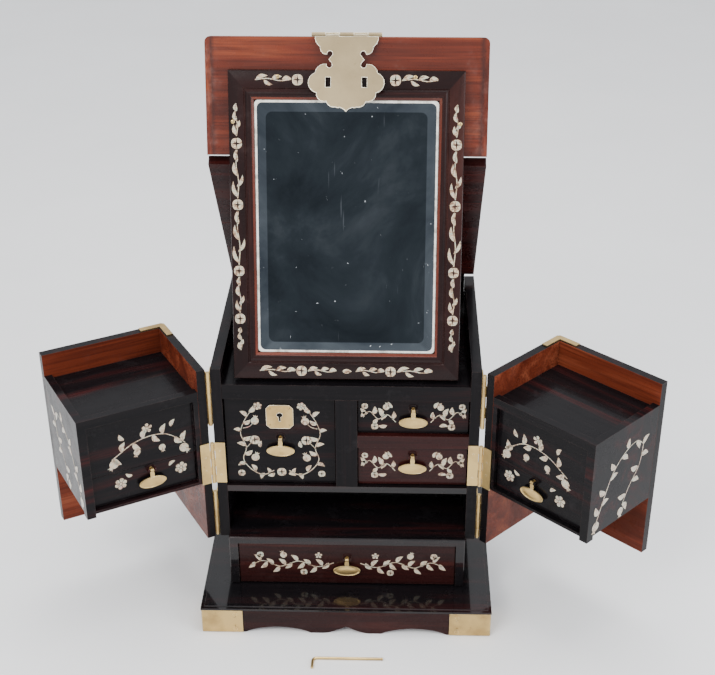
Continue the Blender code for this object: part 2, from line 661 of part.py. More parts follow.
def build_hasp(parent):
    """The bar on the lid's front edge, and the slotted plate that swings from it."""
    pin_y, pin_z = HASP_PIN.y, HASP_PIN.z
    seat = -LID_FRONT - GAP
    bar_y = (seat - 0.001, seat)
    bar_z = pin_z + 0.0023
    half = HASP_HALF_W
    bar = add_object("hasp_bar", shifted(box(((-half, half), bar_y, (bar_z, LID_Z[1] - 0.0004))),
                                         FOOT_CLOSED), "antique_brass", parent)
    for low, high in knuckles(-half, half, 5, 0):
        join(bar, shifted(rod(((low + high) / 2, pin_y, pin_z), "X", LID_BARREL_R, high - low),
                          FOOT_CLOSED))
        join(bar, shifted(box(((low + 0.0001, high - 0.0001), bar_y,
                               (pin_z, bar_z + 0.0005))), FOOT_CLOSED))

    swing = add_axis("hasp_axis", HASP_PIN - FOOT_CLOSED, (math.radians(HASP_REST), 0, 0), parent)
    thick = (-HASP_T / 2, HASP_T / 2)
    plate = add_object("hasp_plate", prism(hasp_outline(), "Y", thick), "antique_brass", swing)
    for low, high in knuckles(-half, half, 5, 1):
        join(plate, rod(((low + high) / 2, 0, 0), "X", LID_BARREL_R, high - low))
        join(plate, box(((low + 0.0001, high - 0.0001), thick, (-0.0031, 0))))
    slot_w, slot_h = SLOT_SIZE
    for side in (-1, 1):
        x = side * SLOT_X
        cut(plate, box(((x - slot_w / 2, x + slot_w / 2), (-0.002, 0.002),
                        (-SLOT_DROP - slot_h / 2, -SLOT_DROP + slot_h / 2))))


def build_lock_pin():
    """The loose bent pin that locks the hasp, lying on the floor in front of the box."""
    left, right = LOCK_PIN_X
    y, bend = LOCK_PIN_Y, 0.005
    route = [(left, y - LOCK_PIN_LEG)] + bowed((left, y - bend), (left + bend, y),
                                               0.293 * bend, 5)
    route += [(left + bend, y), (right, y)]
    wire("lock_pin", [(a, b, LOCK_PIN_R) for a, b in route], LOCK_PIN_R, "antique_brass")


build_base()
build_pedestal()
build_carcass()
build_carcass_drawers()
build_escutcheon()
build_wing("left", -1)
build_wing("right", 1)
build_lid()
build_lock_pin()
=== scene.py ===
"""Looks of the tabletop jewelry armoire: lacquer, rosewood, shell inlay, brass and the bevelled mirror."""
import bpy
import bmesh
import json
import math
from mathutils import Matrix, Vector


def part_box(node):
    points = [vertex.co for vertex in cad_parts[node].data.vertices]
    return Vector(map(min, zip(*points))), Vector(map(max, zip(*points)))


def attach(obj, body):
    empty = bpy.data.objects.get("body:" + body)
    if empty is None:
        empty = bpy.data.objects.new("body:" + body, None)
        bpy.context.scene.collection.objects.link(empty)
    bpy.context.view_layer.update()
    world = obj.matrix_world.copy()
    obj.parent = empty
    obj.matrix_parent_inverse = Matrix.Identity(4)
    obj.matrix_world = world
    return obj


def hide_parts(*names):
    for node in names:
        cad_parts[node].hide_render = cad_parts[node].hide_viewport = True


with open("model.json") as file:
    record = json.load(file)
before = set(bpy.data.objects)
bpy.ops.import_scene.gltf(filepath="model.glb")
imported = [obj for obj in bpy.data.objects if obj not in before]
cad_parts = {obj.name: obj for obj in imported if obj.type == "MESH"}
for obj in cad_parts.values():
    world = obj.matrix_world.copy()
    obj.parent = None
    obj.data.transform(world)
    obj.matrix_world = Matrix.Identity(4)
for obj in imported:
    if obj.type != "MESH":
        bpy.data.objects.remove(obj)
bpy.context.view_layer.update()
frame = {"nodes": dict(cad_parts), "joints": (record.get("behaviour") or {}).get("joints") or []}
NODES = frame["nodes"]
JOINTS = {j["name"]: j for j in frame["joints"]}
MM = 0.001
LEAF_LENGTHEN = 1.15
LEAF_WIDEN = 1.22
PULL_REACH = 0.0045     # from a drawer's front to its pull's pin


# ---------------------------------------------------------------- materials

class Mat:
    """A Principled material with short calls for its nodes."""

    def __init__(self, name):
        self.mat = bpy.data.materials.new(name)
        self.mat.use_nodes = True
        self.tree = self.mat.node_tree
        self.bsdf = self.tree.nodes["Principled BSDF"]
        self.coord = self.tree.nodes.new("ShaderNodeTexCoord")

    def node(self, kind, inputs=None, **attrs):
        n = self.tree.nodes.new(kind)
        for k, v in attrs.items():
            setattr(n, k, v)
        for k, v in (inputs or {}).items():
            self.put(n.inputs[k], v)
        return n

    def put(self, socket, value):
        if isinstance(value, bpy.types.NodeSocket):
            self.tree.links.new(value, socket)
        else:
            socket.default_value = value

    def mapped(self, scale, turn=(0, 0, 0), source="Object"):
        m = self.node("ShaderNodeMapping", {"Vector": self.coord.outputs[source], "Rotation": turn,
                                            "Scale": scale})
        return m.outputs["Vector"]

    def noise(self, vector, scale, detail=5.0, rough=0.55, distort=0.0):
        n = self.node("ShaderNodeTexNoise", {"Vector": vector, "Scale": scale, "Detail": detail,
                                             "Roughness": rough, "Distortion": distort})
        return n.outputs["Fac"]

    def ramp(self, fac, *stops):
        r = self.node("ShaderNodeValToRGB", {"Fac": fac})
        e = r.color_ramp.elements
        while len(e) < len(stops):
            e.new(0.5)
        for k, (at, c) in enumerate(stops):
            e[k].position = at
            e[k].color = (c, c, c, 1) if isinstance(c, (int, float)) else (*c, 1)
        return r.outputs["Color"]

    def mix(self, fac, a, b):
        n = self.node("ShaderNodeMix", data_type="RGBA")
        self.put(n.inputs[0], fac)
        for k, v in ((6, a), (7, b)):
            self.put(n.inputs[k], v if isinstance(v, bpy.types.NodeSocket) else (*v, 1))
        return n.outputs[2]

    def math(self, op, a, b=0.0):
        n = self.node("ShaderNodeMath", operation=op)
        self.put(n.inputs[0], a)
        self.put(n.inputs[1], b)
        return n.outputs[0]

    def edges(self, radius=0.0012, low=0.02, high=0.22):
        """A mask that is 1 along worn edges."""
        bevel = self.node("ShaderNodeBevel", {"Radius": radius}, samples=4)
        geo = self.node("ShaderNodeNewGeometry")
        dot = self.node("ShaderNodeVectorMath", operation="DOT_PRODUCT")
        self.put(dot.inputs[0], bevel.outputs["Normal"])
        self.put(dot.inputs[1], geo.outputs["Normal"])
        return self.ramp(self.math("SUBTRACT", 1.0, dot.outputs["Value"]), (low, 0.0), (high, 1.0))

    def facing(self, direction):
        """A mask that is 1 on the faces turned towards a direction in the piece's own axes."""
        dot = self.node("ShaderNodeVectorMath", {1: tuple(direction)}, operation="DOT_PRODUCT")
        self.put(dot.inputs[0], self.coord.outputs["Normal"])
        return self.math("GREATER_THAN", dot.outputs["Value"], 0.7)

    def bump(self, height, strength=0.2, distance=0.0004):
        b = self.node("ShaderNodeBump", {"Height": height, "Strength": strength, "Distance": distance})
        return b.outputs["Normal"]

    def set(self, **values):
        for k, v in values.items():
            s = self.bsdf.inputs[k.replace("_", " ")]
            if isinstance(v, tuple) and len(v) == 3:
                v = (*v, 1)
            self.put(s, v)
        return self.mat


def grain_axes(axis):
    """Mapping scales that stretch a pattern along one axis, for broad bands and for fine pores."""
    wide = [34.0, 34.0, 34.0]
    fine = [420.0, 420.0, 420.0]
    wide["xyz".index(axis)] = 2.4
    fine["xyz".index(axis)] = 9.0
    return wide, fine


def wood_colour(m, axis, turn, dark, mid, light, source="Object"):
    """Streaky hardwood: slow colour bands, fine dark pores, both along the grain."""
    wide, fine = grain_axes(axis)
    spin = (0, 0, turn)
    pre = m.node("ShaderNodeMapping", {"Vector": m.coord.outputs[source], "Rotation": spin}).outputs[0]
    a = m.node("ShaderNodeMapping", {"Vector": pre, "Scale": wide}).outputs[0]
    b = m.node("ShaderNodeMapping", {"Vector": pre, "Scale": fine}).outputs[0]
    bands = m.noise(a, 1.0, 7.0, 0.62, 0.7)
    pores = m.noise(b, 1.0, 4.0, 0.6)
    cloud = m.noise(m.mapped((1, 1, 1), source=source), 9.0, 3.0)
    col = m.ramp(bands, (0.30, dark), (0.52, mid), (0.72, light))
    col = m.mix(m.ramp(pores, (0.40, 0.55), (0.55, 0.0)), col, dark)
    col = m.mix(m.math("MULTIPLY", cloud, 0.35), col, mid)
    return col, bands, pores


def lacquer(name, axis="z", turn=0.0, warm=0.5, gloss=0.05):
    """Old black lacquer over dark wood, rubbed maroon in streaks and dusty at the edges."""
    m = Mat(name)
    col, bands, pores = wood_colour(m, axis, turn, (0.0022, 0.0022, 0.003), (0.006, 0.0048, 0.0055),
                                    (0.034 * warm + 0.004, 0.0075, 0.007))
    scuff = m.noise(m.mapped((1, 1, 1)), 38.0, 8.0, 0.72)
    dust = m.ramp(scuff, (0.57, 0.0), (0.76, 1.0))
    col = m.mix(m.math("MULTIPLY", dust, 0.10), col, (0.10, 0.09, 0.095))
    worn = m.math("MULTIPLY", m.edges(0.0008), m.ramp(scuff, (0.40, 0.05), (0.66, 0.6)))
    col = m.mix(worn, col, (0.13, 0.085, 0.075))
    rough = m.ramp(scuff, (0.32, 0.16), (0.70, 0.34))
    return m.set(Base_Color=col, Roughness=rough, Specular_IOR_Level=0.07, Coat_Weight=gloss,
                 Coat_Roughness=0.06, Normal=m.bump(m.math("ADD", bands, pores), 0.07))


def maroon(name, axis="z", turn=0.0, source="Object", bright=1.0):
    """Deep red-brown hardwood under a thin dark finish."""
    m = Mat(name)
    k = bright
    col, bands, pores = wood_colour(m, axis, turn, (0.006 * k, 0.0028, 0.0028), (0.022 * k, 0.0055, 0.005),
                                    (0.062 * k, 0.015, 0.011), source)
    scuff = m.noise(m.mapped((1, 1, 1)), 46.0, 7.0, 0.7)
    col = m.mix(m.math("MULTIPLY", m.ramp(scuff, (0.58, 0.0), (0.75, 1.0)), 0.10), col, (0.12, 0.08, 0.075))
    worn = m.math("MULTIPLY", m.edges(0.0008), m.ramp(scuff, (0.40, 0.05), (0.66, 0.6)))
    col = m.mix(worn, col, (0.15, 0.07, 0.055))
    return m.set(Base_Color=col, Roughness=m.ramp(scuff, (0.3, 0.18), (0.7, 0.36)), Specular_IOR_Level=0.12,
                 Coat_Weight=0.07, Coat_Roughness=0.07, Normal=m.bump(m.math("ADD", bands, pores), 0.08))


def red_wood_colour(m, axis, source):
    """The orange-red hardwood of the front lid board and the mirror's lip."""
    return wood_colour(m, axis, 0.0, (0.024, 0.0045, 0.003), (0.120, 0.0195, 0.008),
                       (0.260, 0.060, 0.021), source)


def rosewood(name, axis="x", cleat=None, source="Object"):
    """Orange-red rosewood; with cleat the board has cross-grained ends beyond that half width."""
    m = Mat(name)
    col, bands, pores = red_wood_colour(m, axis, source)
    scuff = m.noise(m.mapped((1, 1, 1)), 30.0, 8.0, 0.72)
    if cleat:
        cross, _, _ = red_wood_colour(m, "z", source)
        sep = m.node("ShaderNodeSeparateXYZ", {0: m.coord.outputs["Object"]}).outputs[0]
        off = m.math("ABSOLUTE", sep)
        ends = m.math("GREATER_THAN", off, cleat)
        col = m.mix(ends, col, cross)
        seam = m.ramp(m.math("ABSOLUTE", m.math("SUBTRACT", off, cleat)), (0.0, 1.0), (0.0009, 0.0))
        col = m.mix(m.math("MULTIPLY", seam, 0.7), col, (0.03, 0.010, 0.008))
        rub = m.math("MULTIPLY", m.ramp(off, (0.125, 0.0), (0.15, 0.30)),
                     m.ramp(scuff, (0.52, 0.0), (0.66, 1.0)))
        col = m.mix(rub, col, (0.24, 0.13, 0.11))
    col = m.mix(m.math("MULTIPLY", m.ramp(scuff, (0.60, 0.0), (0.78, 1.0)), 0.14), col, (0.30, 0.19, 0.16))
    worn = m.math("MULTIPLY", m.edges(0.001), m.ramp(scuff, (0.4, 0.1), (0.66, 0.7)))
    col = m.mix(worn, col, (0.26, 0.13, 0.09))
    return m.set(Base_Color=col, Roughness=m.ramp(scuff, (0.3, 0.20), (0.7, 0.38)), Coat_Weight=0.12,
                 Specular_IOR_Level=0.25, Coat_Roughness=0.08,
                 Normal=m.bump(m.math("ADD", bands, pores), 0.14))


def two_faced(name, inside, turn):
    """A board with black lacquer outside and red wood on the face turned inside."""
    m = Mat(name)
    black, bands, pores = wood_colour(m, "z", turn, (0.0022, 0.0022, 0.003), (0.006, 0.0048, 0.0055),
                                      (0.024, 0.0075, 0.007))
    red, _, _ = wood_colour(m, "x", turn, (0.030, 0.006, 0.004), (0.135, 0.026, 0.012),
                            (0.290, 0.078, 0.036))
    scuff = m.noise(m.mapped((1, 1, 1)), 38.0, 8.0, 0.72)
    col = m.mix(m.facing(inside), black, red)
    col = m.mix(m.math("MULTIPLY", m.ramp(scuff, (0.57, 0.0), (0.76, 1.0)), 0.10), col, (0.12, 0.09, 0.09))
    worn = m.math("MULTIPLY", m.edges(0.0008), m.ramp(scuff, (0.4, 0.05), (0.66, 0.6)))
    col = m.mix(worn, col, (0.14, 0.085, 0.07))
    return m.set(Base_Color=col, Roughness=m.ramp(scuff, (0.32, 0.2), (0.7, 0.40)), Coat_Weight=0.03,
                 Specular_IOR_Level=0.08, Coat_Roughness=0.12,
                 Normal=m.bump(m.math("ADD", bands, pores), 0.08))


def brass(name, body, stain, bright, rough=0.3, stained=0.5):
    """Hand-rubbed sheet brass: brown staining in the hollows, polished along the edges."""
    m = Mat(name)
    spots = m.noise(m.mapped((1, 1, 1)), 120.0, 6.0, 0.65)
    cloud = m.noise(m.mapped((1, 1, 1)), 24.0, 4.0, 0.6)
    rub = m.noise(m.mapped((40, 40, 900)), 1.0, 3.0, 0.5)
    col = m.mix(m.math("MULTIPLY", m.ramp(cloud, (0.42, 0.0), (0.66, 1.0)), stained), body, stain)
    col = m.mix(m.math("MULTIPLY", m.ramp(spots, (0.62, 0.0), (0.72, 1.0)), 0.55), col, stain)
    col = m.mix(m.math("MULTIPLY", m.edges(0.0007, 0.03, 0.18), 0.85), col, bright)
    r = m.math("ADD", m.math("MULTIPLY", spots, 0.16), rough)
    return m.set(Base_Color=col, Metallic=0.92, Roughness=r,
                 Normal=m.bump(m.math("ADD", rub, spots), 0.10, 0.0002))


def pearl(name):
    """Engraved mother-of-pearl: cream shell with faint pink and green fire, fine cut lines, and a painted
    pale blue-grey sheen towards grazing angles.
    """
    m = Mat(name)
    p = m.mapped((1, 1, 1))
    fire = m.noise(p, 210.0, 3.0, 0.5, 1.2)
    cell = m.node("ShaderNodeTexVoronoi", {"Vector": p, "Scale": 160.0}).outputs["Color"]
    tone = m.node("ShaderNodeSeparateColor", {0: cell}).outputs[0]
    col = m.ramp(fire, (0.34, (0.15, 0.075, 0.045)), (0.43, (0.44, 0.30, 0.19)), (0.51, (0.64, 0.52, 0.37)),
                 (0.59, (0.34, 0.44, 0.35)), (0.68, (0.58, 0.30, 0.25)))
    col = m.mix(m.math("MULTIPLY", tone, 0.25), col, (0.74, 0.62, 0.44))
    wave = m.node("ShaderNodeTexWave", {"Vector": p, "Scale": 190.0, "Distortion": 9.0, "Detail": 2.0,
                                        "Detail Scale": 1.4}, wave_type="RINGS").outputs["Fac"]
    cut = m.ramp(wave, (0.0, 1.0), (0.22, 0.0))
    col = m.mix(m.math("MULTIPLY", cut, 0.7), col, (0.12, 0.07, 0.05))
    # painted sheen: pale blue-grey mixed into the colour where the surface turns away from view
    painted_sheen = m.node("ShaderNodeLayerWeight", {"Blend": 0.35}).outputs["Facing"]
    col = m.mix(m.math("MULTIPLY", painted_sheen, 0.22), col, (0.62, 0.72, 0.80))
    return m.set(Base_Color=col, Roughness=0.3, Specular_IOR_Level=0.2, Coat_Weight=0.12, Coat_Roughness=0.12,
                 Normal=m.bump(cut, 0.25, -0.0001))


def old_mirror(name, lit_bevel=False):
    """Aged mirror glass: blue-grey silvering with specks and cloudy patches; the bevel's copy is painted
    paler as a painted reflection.
    """
    m = Mat(name)
    p = m.mapped((1, 1, 1))
    cloud = m.noise(p, 7.0, 5.0, 0.62, 0.8)
    spec = m.noise(p, 170.0, 3.0, 0.6)
    scratch = m.noise(m.mapped((300, 30, 14), (0.3, 0.5, 0.9)), 1.0, 2.0)
    # bevel copy: the same glass painted paler, a painted reflection
    if lit_bevel:
        col = m.ramp(cloud, (0.36, (0.028, 0.037, 0.047)), (0.62, (0.080, 0.095, 0.108)))
        rough = 0.10
    else:
        col = m.ramp(cloud, (0.34, (0.008, 0.012, 0.016)), (0.52, (0.020, 0.027, 0.033)),
                     (0.70, (0.050, 0.059, 0.067)))
        rough = m.ramp(cloud, (0.4, 0.05), (0.7, 0.16))
    col = m.mix(m.ramp(spec, (0.715, 0.0), (0.76, 1.0)), col, (0.72, 0.74, 0.76))
    col = m.mix(m.math("MULTIPLY", m.ramp(scratch, (0.72, 0.0), (0.78, 1.0)), 0.18), col, (0.4, 0.42, 0.46))
    return m.set(Base_Color=col, Metallic=0.96, Roughness=rough, Coat_Weight=0.15, Coat_Roughness=0.03)


def silver_edge(name):
    """The cream-silver line where the silvering has lifted along the glass's edge."""
    m = Mat(name)
    n = m.noise(m.mapped((1, 1, 1)), 90.0, 6.0, 0.7)
    col = m.ramp(n, (0.36, (0.42, 0.40, 0.36)), (0.5, (0.80, 0.77, 0.68)), (0.66, (0.93, 0.92, 0.88)))
    return m.set(Base_Color=col, Metallic=0.35, Roughness=m.ramp(n, (0.3, 0.28), (0.7, 0.5)))


def painted_slot_shade(name):
    """Painted shade of a screw's slot, with the dirt in it: near-black where the slot's depth lies in shade.
    """
    m = Mat(name)
    n = m.noise(m.mapped((1, 1, 1)), 300.0)
    col = m.ramp(n, (0.3, (0.004, 0.004, 0.004)), (0.7, (0.016, 0.012, 0.010)))
    return m.set(Base_Color=col, Roughness=0.8)


LACQUER_Z = lacquer("lacquer_upright", "z")
LACQUER_X = lacquer("lacquer_across", "x", warm=0.8)
LACQUER_SHELF = lacquer("lacquer_shelf", "x", warm=1.0, gloss=0.6)
MAROON_X = maroon("maroon_across", "x")
MAROON_BRIGHT = maroon("maroon_rail", "x", bright=1.25)
MAROON_UV = maroon("maroon_moulding", "x", source="UV", bright=0.8)
RED_UV = rosewood("rosewood_lip", "x", source="UV")
ROSE_LID = rosewood("rosewood_lid", "x", cleat=0.1445)
LID_UNDER = maroon("maroon_lid", "x", bright=1.3)
BRASS = brass("yellow_brass", (0.60, 0.42, 0.17), (0.20, 0.11, 0.04), (0.92, 0.78, 0.48), 0.24, 0.55)
OLD_BRASS = brass("olive_brass", (0.36, 0.285, 0.165), (0.19, 0.135, 0.07), (0.82, 0.72, 0.50), 0.36, 0.35)
# pale copy of brass for the edge beads: painted highlight
HIGHLIGHT_BRASS = brass("painted_highlight_brass", (0.93, 0.87, 0.68), (0.55, 0.44, 0.26), (1.0, 0.97, 0.86), 0.24, 0.3)
PEARL = pearl("mother_of_pearl")
MIRROR = old_mirror("old_mirror")
# the bevel's paler copy of the mirror: painted reflection
MIRROR_BEVEL_LIT = old_mirror("mirror_bevel_painted_reflection", True)
SILVER = silver_edge("lifted_silver")
# painted shade for the screw slots
SLOT_SHADE = painted_slot_shade("screw_slot_painted_shade")


def paint(names, mat):
    """One material over whole nodes."""
    for n in names:
        o = NODES[n]
        o.data.materials.clear()
        o.data.materials.append(mat)


def round_off(names, width, segments=2):
    """Soften the nodes' sharp edges."""
    for n in names:
        b = NODES[n].modifiers.new("edge", "BEVEL")
        b.width = width
        b.segments = segments
        b.limit_method = "ANGLE"
        b.angle_limit = math.radians(40)
        b.use_clamp_overlap = True


# ---------------------------------------------------------------- surfaces to work on

class Face:
    """A flat place on the object: an origin, right and up along it, and the normal out of it."""

    def __init__(self, origin, right, up, normal, body):
        self.o = Vector(origin)
        self.r = Vector(right).normalized()
        self.u = Vector(up).normalized()
        self.n = Vector(normal).normalized()
        self.body = body

    def at(self, x, y, z=0.0):
        """Millimetres along the face to a point in the frame."""
        return self.o + (self.r * x + self.u * y + self.n * z) * MM


def add_object(name, bm, mats, body, smooth=False):
    """A built mesh as a piece that rides a body."""
    bmesh.ops.recalc_face_normals(bm, faces=bm.faces)
    mesh = bpy.data.meshes.new(name)
    bm.to_mesh(mesh)
    bm.free()
    if smooth:
        mesh.shade_smooth()
        mesh.set_sharp_from_angle(angle=math.radians(40))
    for m in mats if isinstance(mats, (list, tuple)) else [mats]:
        mesh.materials.append(m)
    obj = bpy.data.objects.new(name, mesh)
    bpy.context.scene.collection.objects.link(obj)
    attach(obj, body)
    return obj


def box_of(node):
    """The two corners of a node's box."""
    lo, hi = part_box(node)
    return Vector(lo), Vector(hi)


def ring(bm, face, x, y, across, tall, z, count):
    """Points of an ellipse on a face, at height z over it."""
    steps = [2 * math.pi * i / count for i in range(count)]
    return [bm.verts.new(face.at(x + across * math.cos(t), y + tall * math.sin(t), z)) for t in steps]


def skin(bm, rows):
    """Faces between a run of equal rings, with both ends capped."""
    for a, b in zip(rows, rows[1:]):
        for i in range(len(a)):
            j = (i + 1) % len(a)
            bm.faces.new((a[i], a[j], b[j], b[i]))
    bm.faces.new(rows[0][::-1])
    bm.faces.new(rows[-1])


def slab(bm, face, outline, low, top):
    """An outline on a face, drawn up from one height to another."""
    skin(bm, [[bm.verts.new(face.at(x, y, z)) for x, y in outline] for z in (low, top)])


# ---------------------------------------------------------------- shell inlay shapes, in millimetres

def spun(points, x, y, angle):
    """Points turned about zero, then moved to (x, y)."""
    c, s = math.cos(angle), math.sin(angle)
    return [(x + c * a - s * b, y + s * a + c * b) for a, b in points]


def leaf(x, y, angle, length, width, bend=0.15):
    """A pointed leaf from its stalk at (x, y), bowed to one side."""
    a = math.radians(angle)
    length *= LEAF_LENGTHEN
    width *= LEAF_WIDEN
    top, low = [], []
    for k in range(9):
        t = k / 8
        w = width / 2 * math.sin(math.pi * t ** 0.8) ** 0.85 if 0 < k < 8 else 0.0
        mid = bend * length * math.sin(math.pi * t)
        top.append((t * length, mid + w))
        low.append((t * length, mid - w))
    return [spun(top + low[-2:0:-1], x, y, a)]


def square_flower(x, y, size):
    """Four rounded petals set square about a small eye."""
    out = []
    h = size / 2
    for k in range(4):
        pts = []
        for i in range(9):
            t = math.radians(-12 + 114 * i / 8)
            pts.append((h * 0.16 + h * 0.80 * math.cos(t) * 0.98, h * 0.16 + h * 0.80 * math.sin(t)))
        pts = [(h * 0.14, h * 0.14)] + [(min(a, h), min(b, h)) for a, b in pts]
        out.append(spun(pts, x, y, k * math.pi / 2))
    return out


def round_flower(x, y, r, petals=6):
    """Scalloped petals round a small disc."""
    out = []
    step = 2 * math.pi / petals
    for k in range(petals):
        pts = [(r * 0.30 * math.cos(s * step * 0.40), r * 0.30 * math.sin(s * step * 0.40))
               for s in (1, 0, -1)]
        for i in range(7):
            t = math.radians(-90 + 30 * i)
            pts.append((r * 0.70 + r * 0.30 * math.cos(t), r * 0.33 * math.sin(t)))
        out.append(spun(pts, x, y, k * step + 0.3))
    out.append([(x + r * 0.22 * math.cos(t * math.pi / 5), y + r * 0.22 * math.sin(t * math.pi / 5))
                for t in range(10)])
    return out


def pomegranate(x, y, angle, size):
    """A round fruit with a small crown."""
    a = math.radians(angle)
    r = size * 0.42
    body = []
    for k in range(14):
        t = math.radians(28 + (360 - 56) * k / 13)
        body.append((r * 1.06 * math.cos(t), r * math.sin(t)))
    crown = [(r * 0.98, -r * 0.34), (r * 1.62, -r * 0.62), (r * 1.34, -r * 0.12), (r * 1.75, 0),
             (r * 1.34, r * 0.12), (r * 1.62, r * 0.62), (r * 0.98, r * 0.34)]
    return [spun(body, x, y, a), spun(crown, x, y, a)]


def smooth_path(points, steps=6):
    """A curve through given points."""
    out = []
    n = len(points)
    for i in range(n - 1):
        p0, p1, p2, p3 = (Vector(points[max(0, min(n - 1, i + d))]) for d in (-1, 0, 1, 2))
        for k in range(steps):
            t = k / steps
            out.append(0.5 * (2 * p1 + (p2 - p0) * t + (2 * p0 - 5 * p1 + 4 * p2 - p3) * t * t
                              + (3 * p1 - p0 - 3 * p2 + p3) * t ** 3))
    out.append(Vector(points[-1]))
    return out


def stem(points, width=0.9):
    """A curving stalk as a narrow ribbon."""
    path = smooth_path(points)
    left, right = [], []
    for i, p in enumerate(path):
        d = path[min(i + 1, len(path) - 1)] - path[max(i - 1, 0)]
        d = d.normalized() if d.length > 0 else Vector((1, 0))
        w = width / 2 * (1 - 0.35 * i / len(path))
        left.append((p.x - d.y * w, p.y + d.x * w))
        right.append((p.x + d.y * w, p.y - d.x * w))
    return [left + right[::-1]]


def inlay(name, face, outlines, lift=0.16):
    """Shell plates standing a hair above the wood."""
    bm = bmesh.new()
    for pts in outlines:
        slab(bm, face, pts, lift - 0.3, lift)
    return add_object(name, bm, PEARL, face.body)


# ---------------------------------------------------------------- brass details

def screw_head(bm, face, x, y, r, slot_turn, height):
    """A domed head with its slot as a near-black bar of painted shade."""
    rings = ((1.0, 0.0), (0.98, 0.45), (0.80, 0.80), (0.45, 1.0))
    skin(bm, [ring(bm, face, x, y, r * k, r * k, h * height, 20) for k, h in rings])
    c, s = math.cos(slot_turn), math.sin(slot_turn)
    pts = [(-r * 0.85, -0.16), (r * 0.85, -0.16), (r * 0.85, 0.16), (-r * 0.85, 0.16)]
    pts = [(x + c * a - s * b, y + s * a + c * b) for a, b in pts]
    # the slot is a bar painted near-black for its shade, raised over the dome rather than cut
    low = [bm.verts.new(face.at(a, b, height * 0.55)) for a, b in pts]
    top = [bm.verts.new(face.at(a, b, height * 1.04)) for a, b in pts]
    made = [bm.faces.new(top)]
    for i in range(4):
        made.append(bm.faces.new((low[i], low[(i + 1) % 4], top[(i + 1) % 4], top[i])))
    for f in made:
        f.material_index = 1


def screws(name, face, places, r=1.6, height=0.7):
    """Screw heads at places on a face, each slot turned differently."""
    bm = bmesh.new()
    for k, (x, y) in enumerate(places):
        screw_head(bm, face, x, y, r, 0.5 + 1.3 * k, height)
    return add_object(name, bm, [BRASS, SLOT_SHADE], face.body, True)


def highlight_bead(name, node, normal, body, mat, radius=0.00035):
    """A raised bead along the outline of a sheet's face, cut-outs included, in pale brass as a painted
    highlight on the edge.
    """
    bm = bmesh.new()
    bm.from_mesh(NODES[node].data)
    bmesh.ops.remove_doubles(bm, verts=bm.verts, dist=1e-5)
    n = Vector(normal)
    hit = {}
    for e in bm.edges:
        if len(e.link_faces) == 2:
            a, b = (f.normal.dot(n) > 0.9 for f in e.link_faces)
            if a != b:
                for v, w in (e.verts, reversed(e.verts)):
                    hit.setdefault(v.index, []).append(w.index)
    co = {v.index: v.co.copy() for v in bm.verts}
    bm.free()
    curve = bpy.data.curves.new(name, "CURVE")
    curve.dimensions = "3D"
    curve.bevel_depth = radius
    curve.bevel_resolution = 1
    left = set(hit)
    while left:
        start = min(left)
        loop, at, prev = [start], start, None
        left.discard(start)
        while True:
            steps = [w for w in hit[at] if w != prev and w in left]
            if not steps:
                break
            prev, at = at, steps[0]
            left.discard(at)
            loop.append(at)
        if len(loop) > 3:
            s = curve.splines.new("POLY")
            s.points.add(len(loop) - 1)
            for p, i in zip(s.points, loop):
                p.co = (*co[i], 1)
            s.use_cyclic_u = True
    curve.materials.append(mat)
    obj = bpy.data.objects.new(name, curve)
    bpy.context.scene.collection.objects.link(obj)
    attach(obj, body)
    return obj


def pull(drawer):
    """The drawer's hanging oval plate, its rolled eye, and the rosette behind the post."""
    hinge = JOINTS[drawer + "_pull_hinge"]
    out = -Vector(JOINTS[drawer + "_slide"]["axis"]).normalized()
    pin = Vector(hinge["pos_m"])
    up = Vector((0, 0, 1))
    right = up.cross(out)
    face = Face(pin, right, up, out, drawer + "_pull")
    bm = bmesh.new()
    count, across, tall, drop = 40, 16.5, 7.2, -16.0
    profile = ((0.99, -1.0), (1.0, -0.2), (0.985, 0.55), (0.94, 0.75), (0.88, 0.35), (0.80, 0.30),
               (0.55, 0.85), (0.25, 1.05))
    skin(bm, [ring(bm, face, 0, drop, across * k, tall * k, h, count) for k, h in profile])
    # strap from the plate up to the rolled eye round the pin
    strap = [(-2.0, -10.2), (-2.5, -6.0), (-2.1, -2.0), (2.1, -2.0), (2.5, -6.0), (2.0, -10.2)]
    slab(bm, face, strap, -0.9, 0.6)
    rows = []
    for x, r in ((-2.1, 1.6), (-1.9, 2.0), (1.9, 2.0), (2.1, 1.6)):
        steps = [2 * math.pi * i / 16 for i in range(16)]
        rows.append([bm.verts.new(face.at(x, r * math.cos(t), r * math.sin(t))) for t in steps])
    skin(bm, rows)
    obj = add_object(drawer + "_pull_plate", bm, BRASS, drawer + "_pull", True)
    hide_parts(drawer + "_pull")
    base = Face(pin - out * PULL_REACH, right, up, out, drawer)
    bm = bmesh.new()
    turned = ((4.6, 0.0), (4.5, 0.35), (3.7, 0.6), (3.2, 0.45), (2.7, 0.9), (2.2, 1.1))
    skin(bm, [ring(bm, base, 0, 0, r, r, h, 24) for r, h in turned])
    add_object(drawer + "_rosette", bm, BRASS, drawer, True)
    return base


# ---------------------------------------------------------------- boards

